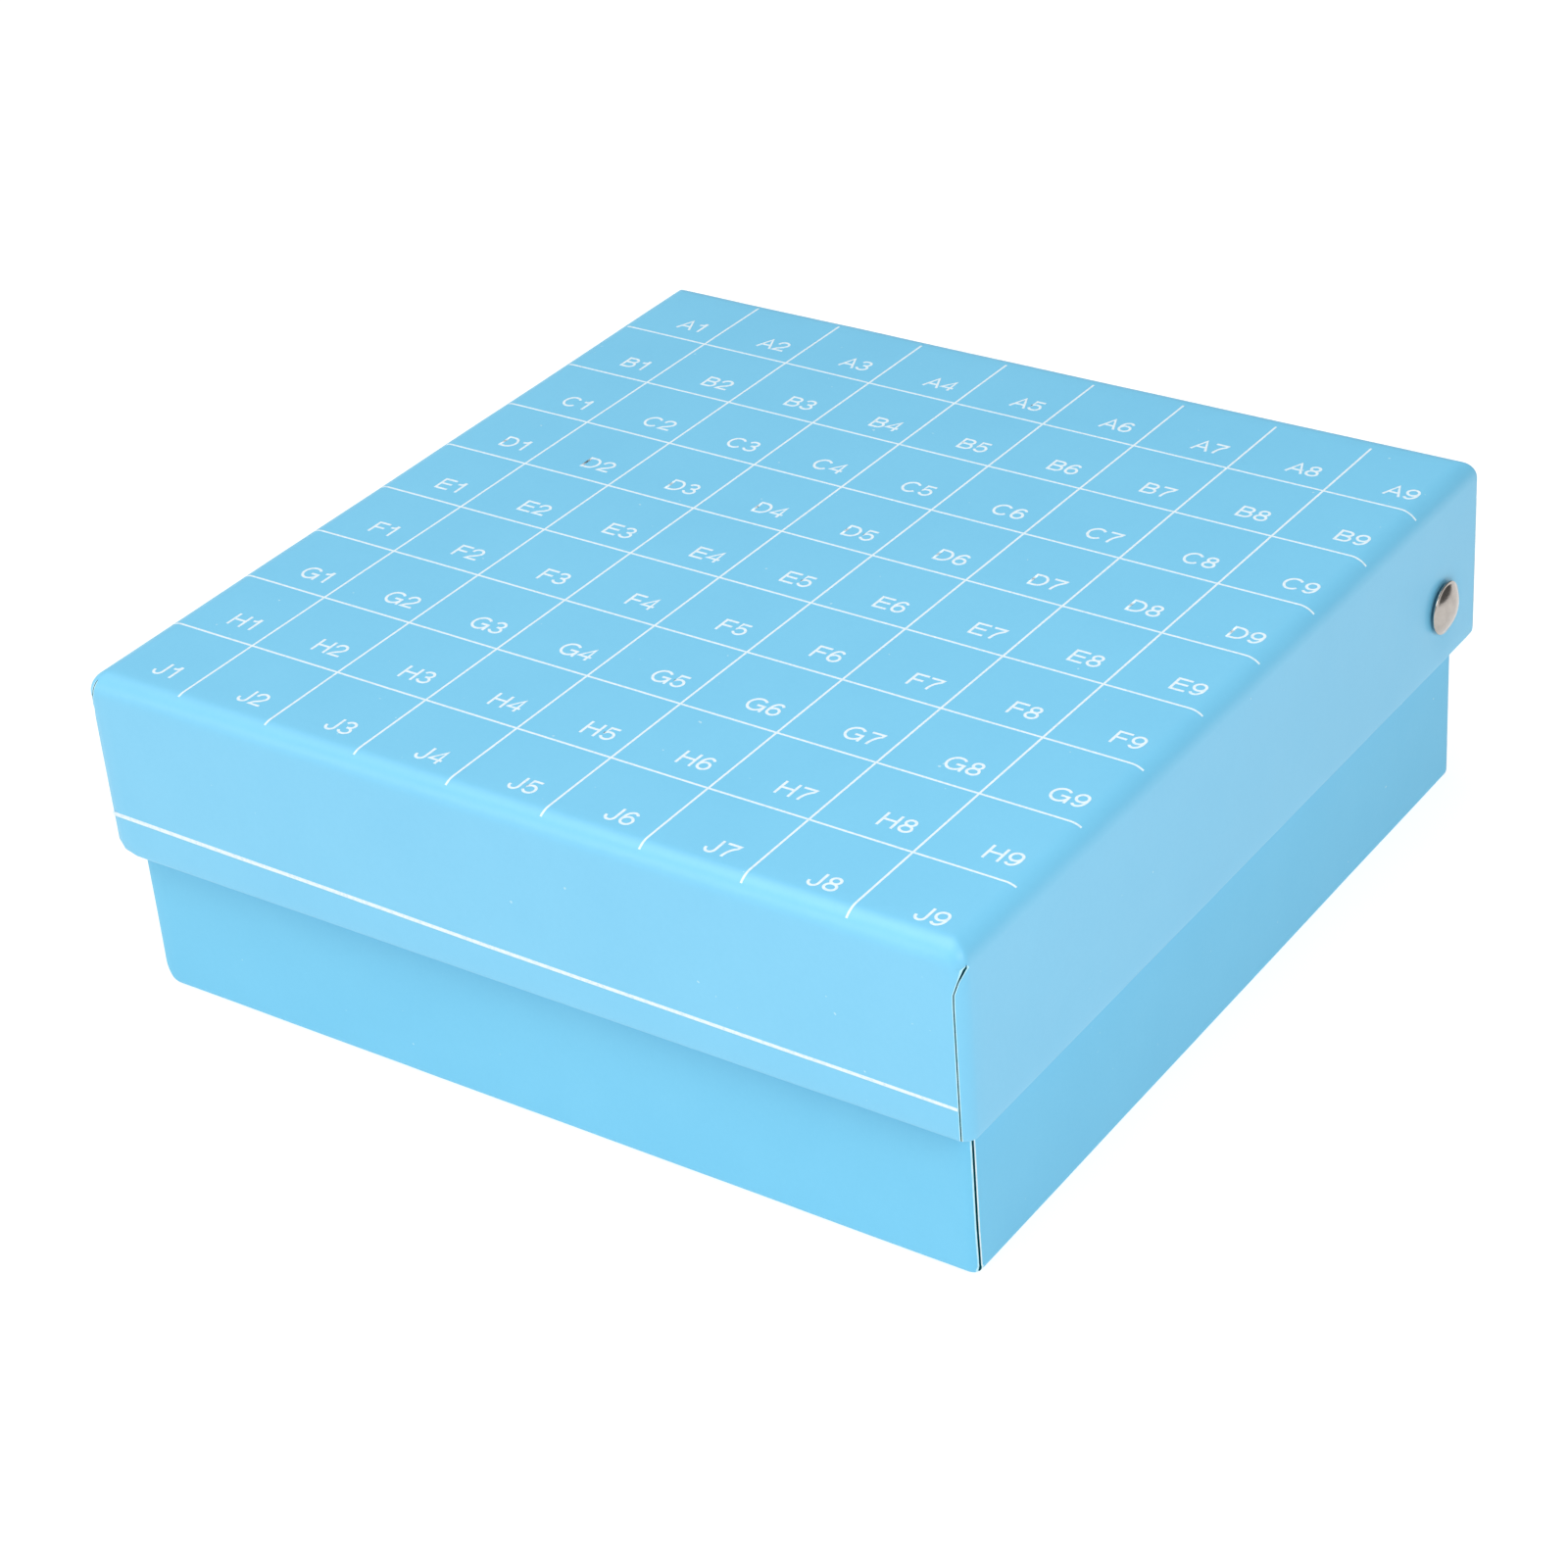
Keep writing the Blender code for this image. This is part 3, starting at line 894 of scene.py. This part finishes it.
# Plain sans-serif capitals and digits: advance width, then the strokes, in capital heights
GLYPHS = {
    "A": (0.929, [[(0.07, 0.0), (0.465, 0.97), (0.86, 0.0)], [(0.20, 0.33), (0.73, 0.33)]]),
    "B": (0.929, [[(0.16, 0.53), (0.16, TOP)] + arc(0.50, 0.737, 0.245, TOP - 0.737, 90, -90)
                  + [(0.16, 0.53)],
                  [(0.16, 0.53)] + arc(0.53, 0.295, 0.265, 0.236, 90, -90)
                  + [(0.16, BOTTOM), (0.16, 0.53)]]),
    "C": (1.006, [arc(0.505, 0.5, 0.405, 0.455, 40, 320)]),
    "D": (1.006, [[(0.165, 0.5), (0.165, TOP)] + arc(0.46, 0.5, 0.40, 0.441, 90, -90)
                  + [(0.165, BOTTOM), (0.165, 0.5)]]),
    "E": (0.929, [[(0.83, TOP), (0.165, TOP), (0.165, BOTTOM), (0.85, BOTTOM)],
                  [(0.165, 0.525), (0.79, 0.525)]]),
    "F": (0.851, [[(0.79, TOP), (0.165, TOP), (0.165, 0.0)], [(0.165, 0.50), (0.72, 0.50)]]),
    "G": (1.084, [arc(0.53, 0.5, 0.425, 0.455, 42, 335) + [(0.935, 0.47), (0.56, 0.47)],
                  [(0.935, 0.47), (0.935, 0.0)]]),
    "H": (1.006, [[(0.165, 0.0), (0.165, 1.0)], [(0.84, 0.0), (0.84, 1.0)],
                  [(0.165, 0.53), (0.84, 0.53)]]),
    "J": (0.696, [[(0.53, 1.0)] + arc(0.30, 0.29, 0.23, 0.245, 0, -180) + [(0.07, 0.34)]]),
    "1": (0.774, [[(0.46, 0.0), (0.46, 0.985)], [(0.46, 0.93)] + arc(0.20, 0.93, 0.22, 0.19, 0, -90, 5)
                  + [(0.13, 0.74)]]),
    "2": (0.774, [arc(0.385, 0.69, 0.275, 0.255, 185, -22)
                  + [(0.52, 0.44), (0.24, 0.24), (0.115, BOTTOM), (0.71, BOTTOM)]]),
    "3": (0.774, [arc(0.375, 0.735, 0.245, 0.215, 165, -88) + [(0.31, 0.52)],
                  arc(0.375, 0.29, 0.285, 0.235, 92, -168)]),
    "4": (0.774, [[(0.56, 0.0), (0.56, 0.95), (0.075, 0.29), (0.73, 0.29)]]),
    "5": (0.774, [[(0.665, 0.93), (0.20, 0.93), (0.145, 0.47)]
                  + arc(0.375, 0.335, 0.285, 0.28, 142, -158)]),
    "6": (0.774, [arc(0.39, 0.325, 0.275, 0.27, 90, 450),
                  [(0.115, 0.36)] + arc(0.42, 0.50, 0.305, 0.44, 172, 90, 6)
                  + arc(0.42, 0.73, 0.22, 0.21, 80, 20, 4)]),
    "7": (0.774, [[(0.07, 0.925), (0.69, 0.925)] + arc(0.93, 0.0, 0.62, 0.86, 118, 180, 6)]),
    "8": (0.774, [arc(0.385, 0.735, 0.225, 0.205, 90, 450), arc(0.385, 0.285, 0.275, 0.235, 90, 450)]),
    "9": (0.774, [arc(0.385, 0.665, 0.275, 0.275, 90, 450),
                  [(0.66, 0.62)] + arc(0.355, 0.49, 0.305, 0.43, -8, -90, 6)
                  + arc(0.355, 0.26, 0.22, 0.20, -100, -160, 4)]),
}
LABEL_LEFT = 0.485      # of a cell, from the cell's left line
LABEL_BASE = 0.205      # of a cell, from the cell's front line
ROWS = "ABCDEFGHJ"


def add_text(shape, text, x, y):
    for character in text:
        advance, strokes = GLYPHS[character]
        for order, stroke in enumerate(strokes):
            path = [Vector((x + px * CAP_HEIGHT, y + py * CAP_HEIGHT)) for px, py in stroke]
            add_stroke(shape, path, STROKE_WIDTHS, printed_skin, INK * (1 - 0.1 * order))
        x += advance * CAP_HEIGHT


def make_labels():
    """Row letters from the rear, column numbers from the left."""
    shape = bmesh.new()
    half = GRID_CELLS / 2
    for row, letter in enumerate(ROWS):
        for column in range(GRID_CELLS):
            x = GRID_PITCH.x * (column - half + LABEL_LEFT)
            y = GRID_PITCH.y * (half - row - 1 + LABEL_BASE)
            add_text(shape, f"{letter}{column + 1}", x, y)
    return finish_print("printed_labels", shape)


# ---------------------------------------------------------------- rivets

def turned(name, profile, steps=72):
    """Turns (radius, height) points about Z into a closed mesh."""
    shape = bmesh.new()
    rings = []
    for radius, height in profile:
        if radius < 1e-7:
            rings.append([shape.verts.new((0, 0, height))] * steps)
            continue
        rings.append([shape.verts.new((radius * math.cos(math.tau * i / steps),
                                       radius * math.sin(math.tau * i / steps), height))
                      for i in range(steps)])
    for first, second in zip(rings, rings[1:]):
        for i in range(steps):
            j = (i + 1) % steps
            add_face(shape, [first[i], first[j], second[j], second[i]])
    bmesh.ops.recalc_face_normals(shape, faces=shape.faces)
    return make_object(name, shape, [STEEL], smooth_angle=40.0)


def head_profile(radius, height):
    """A low dome on a small rolled rim, from the top to the underside at height 0."""
    dome = radius - HEAD_RIM * 0.6
    rise = height - HEAD_RIM
    sphere = (dome ** 2 + rise ** 2) / (2 * rise)
    half_angle = math.asin(dome / sphere)
    points = [(sphere * math.sin(half_angle * step / HEAD_STEPS),
               height - sphere * (1 - math.cos(half_angle * step / HEAD_STEPS)))
              for step in range(HEAD_STEPS + 1)]
    roll = HEAD_RIM / 2
    points += [(radius - roll + roll * math.cos(angle), roll + roll * math.sin(angle))
               for angle in (math.pi * (0.4 - 0.1 * step) for step in range(10))]
    return points + [(0.0, 0.0)]


def make_rivets():
    for side, sign in (("left", -1), ("right", 1)):
        low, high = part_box(f"rivet_cap_{side}")
        head = turned(f"rivet_head_{side}", head_profile(HEAD_RADIUS, HEAD_HEIGHT))
        place_on_axis(head, sign, low.x if sign > 0 else high.x)
        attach(head, frame_body(f"rivet_cap_{side}"))
        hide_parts(f"rivet_cap_{side}")


def frame_body(node_name):
    bodies = frame["record"]["behaviour"]["bodies"]
    return next(body for body, members in bodies.items() if node_name in members)


def place_on_axis(item, sign, x):
    item.data.transform(Matrix.Translation((x, HINGE.y, HINGE.z))
                        @ Matrix.Rotation(sign * math.pi / 2, 4, 'Y'))


# ---------------------------------------------------------------- CAD nodes that stay

def dress_cad_nodes():
    for name, item in frame["nodes"].items():
        material = STEEL if name.startswith("rivet") else CARD
        item.data.materials.clear()
        item.data.materials.append(material)


# ---------------------------------------------------------------- stage

def aim(item, target, roll=0.0):
    direction = target - item.location
    item.rotation_euler = (direction.to_track_quat('-Z', 'Y').to_matrix()
                           @ Matrix.Rotation(roll, 3, 'Z')).to_euler()


def make_camera():
    camera = bpy.data.objects.new("camera", bpy.data.cameras.new("camera"))
    camera.location = CAMERA_PLACE
    camera.data.lens = CAMERA_LENS
    camera.data.sensor_width = CAMERA_SENSOR
    camera.data.clip_start = 0.01
    aim(camera, CAMERA_TARGET, CAMERA_ROLL)
    bpy.context.scene.collection.objects.link(camera)
    bpy.context.scene.camera = camera


def make_light(name, place, size, power, colour):
    data = bpy.data.lights.new(name, 'AREA')
    data.shape = 'DISK'
    data.size = size
    data.energy = power
    data.color = colour
    light = bpy.data.objects.new(name, data)
    light.location = place
    light.visible_camera = False
    aim(light, LIGHT_TARGET)
    bpy.context.scene.collection.objects.link(light)


def make_room():
    """A soft grey room, brighter towards the front left."""
    world = bpy.data.worlds.new("studio")
    world.use_nodes = True
    tree = world.node_tree
    place = tree.nodes.new("ShaderNodeTexCoord")
    facing = tree.nodes.new("ShaderNodeVectorMath")
    facing.operation = 'DOT_PRODUCT'
    facing.inputs[1].default_value = BRIGHT_SIDE.normalized()
    tree.links.new(place.outputs["Generated"], facing.inputs[0])
    share = tree.nodes.new("ShaderNodeMapRange")
    share.inputs["From Min"].default_value = ROOM_SPAN[0]
    share.inputs["From Max"].default_value = ROOM_SPAN[1]
    tree.links.new(facing.outputs["Value"], share.inputs["Value"])
    tones = ramp(tree, share.outputs["Result"], [(0.0, (ROOM_DARK,) * 3), (1.0, (ROOM_BRIGHT,) * 3)])
    tree.links.new(tones, tree.nodes["Background"].inputs["Color"])
    bpy.context.scene.world = world


def make_stage():
    shape = bmesh.new()
    bmesh.ops.create_grid(shape, x_segments=1, y_segments=1, size=FLOOR_REACH)
    floor = make_object("floor", shape, [pale_floor()])
    make_room()
    for name, shape in (("top_light", TOP_LIGHT), ("front_light", FRONT_LIGHT), ("side_light", SIDE_LIGHT)):
        make_light(name, *shape)
    bpy.context.scene.view_settings.view_transform = 'Standard'


make_camera()
make_stage()
make_lid()
make_base()
make_grid_lines()
make_stripe()
make_labels()
make_rivets()
dress_cad_nodes()
